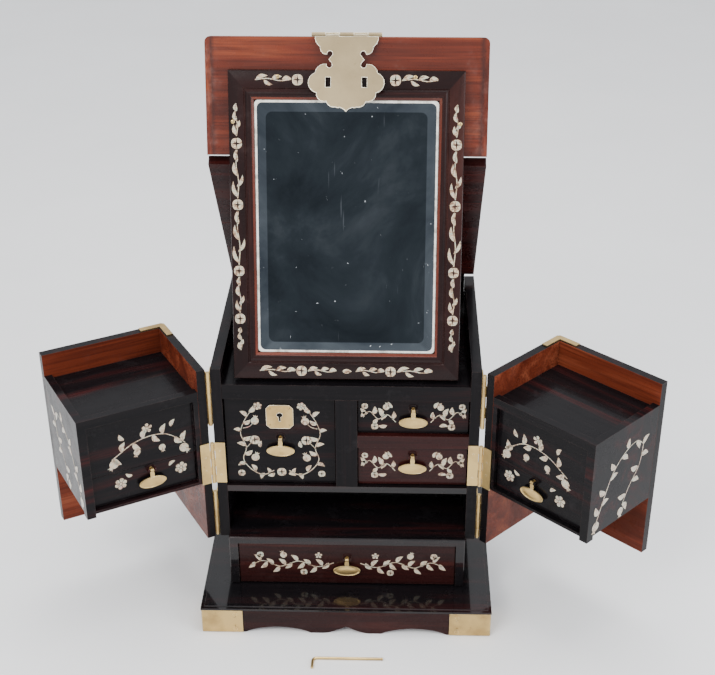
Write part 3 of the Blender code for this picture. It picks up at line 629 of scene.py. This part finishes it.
brass_nodes = [n for n in NODES if n.startswith(("hinge_", "cap_", "fold_hinge", "lid_hinge"))
               or n.endswith(("_bracket", "_staple")) or n in ("escutcheon", "lock_pin")]
paint(brass_nodes, BRASS)
paint(["hasp_plate", "hasp_bar"], OLD_BRASS)
paint(["side_left", "side_right", "back_panel", "divider"], LACQUER_Z)
paint(["top_board", "drawer_tall", "drawer_upper", "foot_strip"], LACQUER_X)
paint(["tier_floor", "pedestal", "base_top"], LACQUER_SHELF)
paint(["drawer_base", "base_apron"], MAROON_X)
paint(["drawer_lower", "mid_rail"], MAROON_BRIGHT)
paint(["lid_front"], ROSE_LID)
paint(["lid_rear"], LID_UNDER)
for side in ("left", "right"):
    slide_in = Vector(JOINTS[f"wing_{side}_drawer_slide"]["axis"]).normalized()
    turn = math.pi / 2 - math.atan2(slide_in.y, slide_in.x)
    inward = Vector((slide_in.y, -slide_in.x, 0)) * (-1 if side == "left" else 1)
    paint([f"wing_{side}_front"], two_faced(f"wing_{side}_front_wood", -slide_in, turn))
    paint([f"wing_{side}_side"], two_faced(f"wing_{side}_side_wood", inward, turn))
    cabinet_wood = lacquer(f"wing_{side}_lacquer", "x", turn, 1.3, 0.08)
    paint([f"wing_{side}_cabinet", f"wing_{side}_drawer"], cabinet_wood)

boards = [n for n in NODES if n not in brass_nodes and not n.endswith("_pull")
          and n not in ("hasp_plate", "hasp_bar", "mirror_frame", "mirror_glass")]
round_off(boards, 0.0008)
round_off([n for n in brass_nodes if n != "escutcheon"], 0.00025, 1)


# ---------------------------------------------------------------- pulls and shell inlay

PINS = {}
for d in ("drawer_tall", "drawer_upper", "drawer_lower", "drawer_base", "wing_left_drawer",
          "wing_right_drawer"):
    PINS[d] = pull(d)

tall, upper, lower, base = (PINS[k] for k in ("drawer_tall", "drawer_upper", "drawer_lower", "drawer_base"))


def tall_drawer_inlay():
    """Curling sprays with fruit on both sides, blossoms low down."""
    out = []
    for s in (-1, 1):
        out += stem([(s * 9, -46), (s * 22, -52), (s * 36, -44), (s * 44, -30), (s * 40, -14), (s * 46, 4),
                     (s * 42, 20), (s * 34, 34)], 1.1)
        for x, y, a, l, w in ((20, -50, -60, 8, 4), (30, -47, 60, 9, 4.2), (41, -36, -20, 9, 4.2),
                              (43, -24, 150, 10, 4.6), (41, -12, 20, 9, 4.2), (44, -3, 160, 10, 4.6),
                              (45, 8, 15, 8, 4), (43, 18, 150, 9, 4.2), (38, 28, 40, 9, 4.2),
                              (35, 33, 120, 10, 4.6), (14, -50, 70, 7, 3.4)):
            out += leaf(s * x, y, a if s > 0 else 180 - a, l, w, 0.14 * s)
        out += pomegranate(s * 30, -28, 110 if s > 0 else 70, 11)
        out += pomegranate(s * 29, 22, 100 if s > 0 else 80, 11)
        out += square_flower(s * 30, -4, 12)
        out += square_flower(s * 47, -50, 8.5)
        out += round_flower(s * 25, 42, 5.2)
        out += leaf(s * 24, -14, 100 if s > 0 else 80, 8, 3.8, 0.1)
        out += stem([(s * 41, -16), (s * 36, -10), (s * 31, -4)], 0.8)
        out += stem([(s * 43, 12), (s * 36, 14), (s * 31, 19)], 0.8)
    out += square_flower(0, -48, 11)
    out += leaf(-8, -50, 200, 8, 4) + leaf(8, -50, -20, 8, 4)
    return inlay("drawer_tall_inlay", tall, out)


def shallow_inlay(name, f, low, high, half):
    """Sprays beside the pull of a shallow drawer."""
    out = []
    mid = (low + high) / 2
    for s in (-1, 1):
        pts = [(s * 20, mid - 8), (s * 30, mid + 2), (s * 40, mid - 4), (s * 50, mid + 6),
               (s * (half - 6), mid - 2)]
        out += stem(pts, 1.0)
        for x, y, a, l, w in ((24, -4, 100, 9, 4.2), (30, 2, -50, 8.5, 4), (36, 0, 70, 10, 4.6),
                              (41, -4, -70, 8.5, 4), (46, 2, 100, 9.5, 4.4), (52, 5, -40, 9, 4.2),
                              (56, 2, 60, 8, 3.8)):
            out += leaf(s * x, mid + y, a if s > 0 else 180 - a, l, w, 0.13 * s)
        out += pomegranate(s * 31, mid + 12, 100 if s > 0 else 80, 9)
        out += square_flower(s * 44, mid - 14, 8.5)
        out += square_flower(s * (half - 8), mid + 13, 7.5)
        out += leaf(s * 24, mid + 11, 60 if s > 0 else 120, 8, 3.6, 0.1)
        out += leaf(s * 30, mid - 13, 0 if s > 0 else 180, 9, 3.8, 0.12)
    return inlay(name, f, out)


def base_inlay():
    """One long symmetric branch about the pull."""
    out = []
    for s in (-1, 1):
        pts = [(s * 16, -8), (s * 36, -14), (s * 58, -6), (s * 80, -14), (s * 100, -6), (s * 114, -12)]
        out += stem(pts, 1.1)
        for k in range(13):
            x = 22 + k * 7.4
            y = -10 + 4.0 * math.sin(k * 1.05 + 2.6)
            up = 1 if k % 2 else -1
            a = 48 * up
            out += leaf(s * x, y, a if s > 0 else 180 - a, 10.5, 4.4, 0.12 * up * s)
        out += square_flower(s * 52, -22, 8.5)
        out += pomegranate(s * 76, 3, 70 if s > 0 else 110, 9.5)
        out += square_flower(s * 104, 3, 8.5)
        out += round_flower(s * 34, 3, 4.4, 5)
    return inlay("drawer_base_inlay", base, out)


tall_drawer_inlay()
shallow_inlay("drawer_upper_inlay", upper, -32.9 + 1, 13.1 - 1, 63.4)
shallow_inlay("drawer_lower_inlay", lower, -40.7 + 1, 12.9 - 1, 63.4)
base_inlay()

# Wings: a vine above each drawer, two blossoms beside its pull, and a vine on the cabinet's free end
for side in ("left", "right"):
    p = PINS[f"wing_{side}_drawer"]
    out = []
    for x in (-36.5, 36.5):
        out += round_flower(x, -10, 7.4, 6)
    out += leaf(-22, -3, 150, 8, 3.6) + leaf(22, -3, 30, 8, 3.6)
    inlay(f"wing_{side}_drawer_inlay", p, out)
    vine = [(-44, 24), (-34, 30), (-20, 38), (-6, 42), (8, 43), (22, 40), (36, 30), (44, 22)]
    if side == "right":
        vine = [(-x, y) for x, y in vine][::-1]
    out = stem(vine, 1.2)
    path = smooth_path(vine)
    for k in range(8):
        q = path[int((k + 0.5) / 8 * (len(path) - 1))]
        up = 1 if k % 2 else -1
        out += leaf(q.x, q.y, 60 * up + (10 if side == "left" else 150), 11.5, 5.2, 0.14 * up)
    out += pomegranate(-42, 18, 230, 13)
    out += pomegranate(42, 16, -50, 13)
    out += round_flower(0, 54, 6.2, 5)
    out += leaf(-28, 46, 120, 9, 4.2) + leaf(28, 48, 60, 9, 4.2)
    out += pomegranate(16, 24, -80, 9.5) + pomegranate(-14, 26, 250, 9.5)
    wing_panel = Face(p.o, p.r, p.u, p.n, f"wing_{side}")
    inlay(f"wing_{side}_vine", wing_panel, out)

    flip = -1 if side == "left" else 1
    end_n = p.r * flip
    corners = [v.co - p.o for v in NODES[f"wing_{side}_cabinet"].data.vertices]
    reach = max(c.dot(end_n) for c in corners)
    depth = [c.dot(p.n) for c in corners]
    centre = p.o + end_n * reach + p.n * (min(depth) + max(depth)) / 2
    end = Face(centre, p.u.cross(end_n), p.u, end_n, f"wing_{side}")
    out = stem([(-44 * flip, -22), (-34 * flip, 4), (-20 * flip, 34), (0, 52), (20 * flip, 58),
                (32 * flip, 50)], 1.3)
    out += stem([(34 * flip, 48), (30 * flip, 22), (14 * flip, 0), (4 * flip, -20)], 1.2)
    for x, y, a, l, w in ((-40, -12, 120, 13, 6), (-37, -2, 20, 12, 5.6), (-31, 12, 140, 13, 6),
                          (-24, 26, 20, 12, 5.6), (-16, 38, 130, 12, 5.6), (-6, 48, -30, 12, 5.6),
                          (6, 54, 90, 12, 5.6), (20, 57, -60, 12, 5.6), (33, 48, 40, 12, 5.6),
                          (32, 34, -10, 12, 5.6), (28, 20, 160, 13, 6), (19, 6, -20, 12, 5.6),
                          (9, -8, 170, 13, 6), (5, -18, -60, 12, 5.6)):
        out += leaf(x * flip, y, a if flip > 0 else 180 - a, l, w, 0.13 * flip)
    out += pomegranate(-44 * flip, -26, 250, 14)
    out += pomegranate(2 * flip, -28, 270, 12)
    inlay(f"wing_{side}_end_vine", end, out)

# ---------------------------------------------------------------- mirror

def frame_axes():
    """Up along the mirror frame and the way its face looks.

    The normal is rounded to two decimals, so the mirror's pieces lean 14.45 degrees, not the CAD's 14.6.
    """
    best = {}
    for poly in NODES["mirror_frame"].data.polygons:
        n = poly.normal
        if abs(n.x) < 0.02 and n.y < -0.3:
            key = (round(n.y, 2), round(n.z, 2))
            best[key] = best.get(key, 0) + poly.area
    key = max(best, key=best.get)
    n = Vector((0, key[0], key[1])).normalized()
    return n.cross(Vector((1, 0, 0))) * -1, n


frame_pts = [v.co for v in NODES["mirror_frame"].data.vertices]
up_m, n_m = frame_axes()
if up_m.z < 0:
    up_m = -up_m
us = [v.dot(up_m) for v in frame_pts]
ns = [v.dot(n_m) for v in frame_pts]
xs = [v.x for v in frame_pts]
U0, U1, N1, HALF = min(us), max(us), max(ns), max(xs)
origin = up_m * U0 + n_m * N1
MF = Face(origin, (1, 0, 0), up_m, n_m, "mirror")
TALL = (U1 - U0) / MM
WIDE = HALF / MM
THICK = (max(ns) - min(ns)) / MM
GLASS_FACE = (max(v.co.dot(n_m) for v in NODES["mirror_glass"].data.vertices) - N1) / MM
SIGHT = 99.0
RAIL_LOW, RAIL_TOP = 30.0, 31.0


def moulding():
    """The mitred frame: flat inlaid band, quirk, round moulding and a red lip inside."""
    # (share of the rail's width from the outer edge, height over the CAD face in mm)
    profile = [(0.06, -THICK), (0.0, 1.4 - THICK), (0.0, -1.3), (0.012, -0.5), (0.045, -0.1),
               (0.60, -0.1), (0.625, -1.0), (0.655, -1.2), (0.68, -0.7), (0.72, 0.0),
               (0.79, 0.35), (0.86, 0.1), (0.90, -0.7), (0.915, -1.6), (0.99, -2.6), (1.0, -3.4),
               (1.0, -THICK)]
    corners_out = [(-WIDE, 0.0), (WIDE, 0.0), (WIDE, TALL), (-WIDE, TALL)]
    corners_in = [(-SIGHT, RAIL_LOW), (SIGHT, RAIL_LOW), (SIGHT, TALL - RAIL_TOP), (-SIGHT, TALL - RAIL_TOP)]
    bm = bmesh.new()
    uv = bm.loops.layers.uv.new("UVMap")
    for k in range(4):
        a, b = k, (k + 1) % 4
        ends = []
        for c in (a, b):
            row = []
            for t, h in profile:
                x = corners_out[c][0] + (corners_in[c][0] - corners_out[c][0]) * t
                y = corners_out[c][1] + (corners_in[c][1] - corners_out[c][1]) * t
                row.append(bm.verts.new(MF.at(x, y, max(h - 0.35, 0.5 - THICK))))
            ends.append(row)
        along = 0.3 * k
        length = (Vector(corners_out[b]) - Vector(corners_out[a])).length * MM
        for i in range(len(profile) - 1):
            quad = (ends[0][i], ends[1][i], ends[1][i + 1], ends[0][i + 1])
            f = bm.faces.new(quad)
            f.material_index = 1 if 0.905 < (profile[i][0] + profile[i + 1][0]) / 2 < 1.0 else 0
            for loop, (u, v) in zip(f.loops, ((0, i), (length, i), (length, i + 1), (0, i + 1))):
                loop[uv].uv = (along + u, 0.09 * k + v * 0.0022)
        for row, flip in ((ends[0], 1), (ends[1], -1)):
            bm.faces.new(row[::flip])
        back = bm.faces.new((ends[0][-1], ends[1][-1], ends[1][0], ends[0][0]))
        back.material_index = 0
    obj = add_object("mirror_moulding", bm, [MAROON_UV, RED_UV], "mirror", False)
    obj.data.shade_smooth()
    obj.data.set_sharp_from_angle(angle=math.radians(32))
    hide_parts("mirror_frame")
    return obj


def rounded(half, low, top, r, n=6):
    """The outline of a rectangle with rounded corners."""
    pts = []
    for cx, cy, a0 in ((half - r, low + r, -90), (half - r, top - r, 0), (-half + r, top - r, 90),
                       (-half + r, low + r, 180)):
        for k in range(n + 1):
            a = math.radians(a0 + 90 * k / n)
            pts.append((cx + r * math.cos(a), cy + r * math.sin(a)))
    return pts


def bevelled_glass():
    """A mirror plate with a ground bevel, and the pale line of lifted silver round it."""
    h = SIGHT - 0.4
    low, top = RAIL_LOW + 0.4, TALL - RAIL_TOP - 0.4
    base_n = GLASS_FACE
    loops = [(h, low, top, 4.0, base_n - 2.5, None), (h, low, top, 4.0, base_n - 0.9, 2),
             (h - 1.5, low + 1.5, top - 1.5, 5.0, base_n - 0.85, 2),
             (h - 2.4, low + 2.4, top - 2.4, 6.0, base_n - 0.8, 2),
             (h - 11.5, low + 11.5, top - 11.5, 7.0, base_n + 0.0, 1),
             (h - 12.0, low + 12.0, top - 12.0, 6.8, base_n + 0.02, 1)]
    bm = bmesh.new()
    rows = []
    for half, lo, hi, r, z, _ in loops:
        rows.append([bm.verts.new(MF.at(x, y, z)) for x, y in rounded(half, lo, hi, r)])
    # material 1 on the bevel is the paler copy of the glass: painted reflection
    for (a, b), (_, _, _, _, _, m) in zip(zip(rows, rows[1:]), loops[1:]):
        for i in range(len(a)):
            j = (i + 1) % len(a)
            bm.faces.new((a[i], a[j], b[j], b[i])).material_index = m or 0
    bm.faces.new(rows[-1]).material_index = 0
    bm.faces.new(rows[0][::-1]).material_index = 0
    obj = add_object("mirror_plate", bm, [MIRROR, MIRROR_BEVEL_LIT, SILVER], "mirror")
    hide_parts("mirror_glass")
    return obj


def vine_piece(out, x, y, length, vertical):
    """A stalk with slender leaves, to fill the rail between two blossoms."""
    places = ((-0.48, 16, 0.30, 3.4, 1), (-0.26, -26, 0.24, 3.1, -1), (-0.04, 14, 0.26, 3.5, 1),
              (0.26, 4, 0.22, 3.6, 1))
    if vertical:
        out += stem([(x, y - length / 2), (x + 1.4, y - length * 0.15), (x - 1.0, y + length * 0.2),
                     (x + 0.4, y + length / 2)], 1.2)
        for t, a, l, w, s in places:
            out += leaf(x + 0.5 * s, y + t * length, 90 + a, l * length, w, 0.12 * s)
    else:
        out += stem([(x - length / 2, y), (x - length * 0.15, y + 1.2), (x + length * 0.2, y - 1.0),
                     (x + length / 2, y + 0.3)], 1.2)
        for t, a, l, w, s in places:
            out += leaf(x + t * length, y + 0.5 * s, a, l * length, w, 0.12 * s)


def frame_inlay():
    """Shell blossoms and vines round the mirror frame."""
    out = []
    bx = WIDE - 0.30 * (WIDE - SIGHT)
    for s in (-1, 1):
        flowers = (262, 196, 123, 69)
        for y in flowers:
            out += square_flower(s * bx, y, 12.0)
        for a, b in zip(flowers, flowers[1:]):
            vine_piece(out, s * bx, (a + b) / 2, abs(a - b) - 14, True)
        vine_piece(out, s * bx, 287, 34, True)
        vine_piece(out, s * bx, 46, 26, True)
    by = RAIL_LOW * 0.32
    ty = TALL - RAIL_TOP * 0.32
    for s in (-1, 1):
        out += square_flower(s * 52, ty, 12.0)
        vine_piece(out, s * 78, ty, 38, False)
        out += square_flower(s * 50, by, 12.0)
        vine_piece(out, s * 77, by, 40, False)
        vine_piece(out, s * 27, by, 32, False)
    out += leaf(-4, by, 0, 9, 4.4, 0)
    obj = inlay("mirror_frame_inlay", MF, out, -0.28)
    return obj


moulding()
bevelled_glass()
frame_inlay()
screws("mirror_frame_screws", MF, [(-73, TALL - 6.5), (73, TALL - 6.5), (-121.5, 285), (121.5, 284)], 2.1)

# hasp: a bead of painted highlight round the sheet and its slots
hasp_mesh = NODES["hasp_plate"].data
areas = {}
for poly in hasp_mesh.polygons:
    n = poly.normal
    key = (round(n.x, 2), round(n.y, 2), round(n.z, 2))
    areas[key] = areas.get(key, 0) + poly.area
flat = sorted(areas, key=areas.get, reverse=True)[:2]
for k, key in enumerate(flat):
    highlight_bead(f"hasp_highlight_bead_{k}", "hasp_plate", Vector(key).normalized(), "hasp", HIGHLIGHT_BRASS, 0.00032)

# escutcheon screws and a bead of painted highlight
lo, hi = box_of("escutcheon")
ES = Face(((lo.x + hi.x) / 2, lo.y, (lo.z + hi.z) / 2), (1, 0, 0), (0, 0, 1), (0, -1, 0), "drawer_tall")
highlight_bead("escutcheon_highlight_bead", "escutcheon", (0, -1, 0), "drawer_tall", HIGHLIGHT_BRASS, 0.00025)
half = (hi.x - lo.x) / 2 / MM
screws("escutcheon_screws", ES, [(-half + 4.4, -half + 4.4), (half - 4.4, -half + 4.4),
                                 (-half + 4.4, half - 4.4), (half - 4.4, half - 4.4)], 1.3)

# corner caps' screws
for side in ("left", "right"):
    lo, hi = box_of(f"cap_{side}")
    cap = Face(((lo.x + hi.x) / 2, lo.y, lo.z), (1, 0, 0), (0, 0, 1), (0, -1, 0), "carcass")
    s = 1 if side == "left" else -1
    tall_mm = (hi.z - lo.z) / MM
    screws(f"cap_{side}_screws", cap, [(s * 15.5, tall_mm * 0.72), (s * 15.5, tall_mm * 0.28)], 1.4)

# hinge leaves' screws, on each leaf's widest face
for node in [n for n in NODES if n.startswith("hinge_") and n.endswith(("_fixed", "_moving"))]:
    mesh = NODES[node].data
    best = {}
    for poly in mesh.polygons:
        n = poly.normal
        if abs(n.z) < 0.1:
            key = (round(n.x, 2), round(n.y, 2))
            best.setdefault(key, []).append(poly)
    ranked = sorted(best, key=lambda k: -sum(q.area for q in best[k]))[:2]
    shown = min(ranked, key=lambda k: k[1])
    polys = best[shown]
    area = sum(q.area for q in polys)
    centre = sum((q.center * q.area for q in polys), Vector()) / area
    n = Vector((shown[0], shown[1], 0)).normalized()
    right = Vector((-n.y, n.x, 0))
    body = "carcass" if node.endswith("_fixed") else ("wing_left" if "_left_" in node else "wing_right")
    face = Face(centre, right, (0, 0, 1), n, body)
    zs = [v.co.z for v in mesh.vertices]
    tall_mm = (max(zs) - min(zs)) / MM
    step = 0.30 if node.endswith("_fixed") else 0.16
    flush = 0.12 if "_mid_" in node else 0.4
    screws(f"{node}_screws", face, [(0, -tall_mm * step), (0, tall_mm * step)], 1.2, height=flush)

# ---------------------------------------------------------------- floor, light and camera

bpy.ops.mesh.primitive_plane_add(size=8, location=(0, 0, -0.0002))
floor = bpy.context.object
floor.name = "floor"
fm = Mat("paper_floor")
tone = fm.noise(fm.mapped((1, 1, 1)), 3.0, 3.0)
paper = fm.ramp(tone, (0.3, (0.86, 0.86, 0.86)), (0.7, (0.90, 0.90, 0.90)))
floor.data.materials.append(fm.set(Base_Color=paper, Roughness=0.85))

world = bpy.data.worlds.new("studio")
bpy.context.scene.world = world
world.use_nodes = True
world.node_tree.nodes["Background"].inputs["Color"].default_value = (0.94, 0.96, 1.0, 1)
world.node_tree.nodes["Background"].inputs["Strength"].default_value = 1.25


def area(name, place, target, size, power, colour=(1, 1, 1)):
    """A rectangular light aimed at a point."""
    data = bpy.data.lights.new(name, "AREA")
    data.shape = "RECTANGLE"
    data.size, data.size_y = size
    data.energy = power
    data.color = colour
    obj = bpy.data.objects.new(name, data)
    obj.location = place
    obj.rotation_euler = (Vector(target) - Vector(place)).to_track_quat("-Z", "Y").to_euler()
    bpy.context.scene.collection.objects.link(obj)
    return obj


area("key", (-1.1, -1.6, 1.9), (0, 0, 0.25), (1.2, 1.0), 46, (1.0, 0.98, 0.95))
area("fill", (1.6, -1.0, 1.2), (0, 0, 0.3), (1.0, 1.2), 20, (0.93, 0.96, 1.0))
area("top", (0.2, 0.3, 2.2), (0, 0, 0.2), (1.6, 1.2), 30)

cam_data = bpy.data.cameras.new("camera")
cam = bpy.data.objects.new("camera", cam_data)
bpy.context.scene.collection.objects.link(cam)
bpy.context.scene.camera = cam
pitch, yaw, roll = (math.radians(v) for v in (31.43, -1.67, -0.16))
fwd = Vector((math.sin(yaw) * math.cos(pitch), math.cos(yaw) * math.cos(pitch), -math.sin(pitch)))
right = Vector((math.cos(yaw), -math.sin(yaw), 0))
up = right.cross(fwd)
r2 = right * math.cos(roll) + up * math.sin(roll)
u2 = up * math.cos(roll) - right * math.sin(roll)
rot = Matrix((r2, u2, -fwd)).transposed()
cam.matrix_world = Matrix.Translation((0.0584, -1.3735, 1.1107)) @ rot.to_4x4()
cam_data.sensor_width = 36
cam_data.lens = 71.4
cam_data.shift_x = -0.0066
cam_data.shift_y = 0.1055
cam_data.clip_end = 50

bpy.context.view_layer.update()
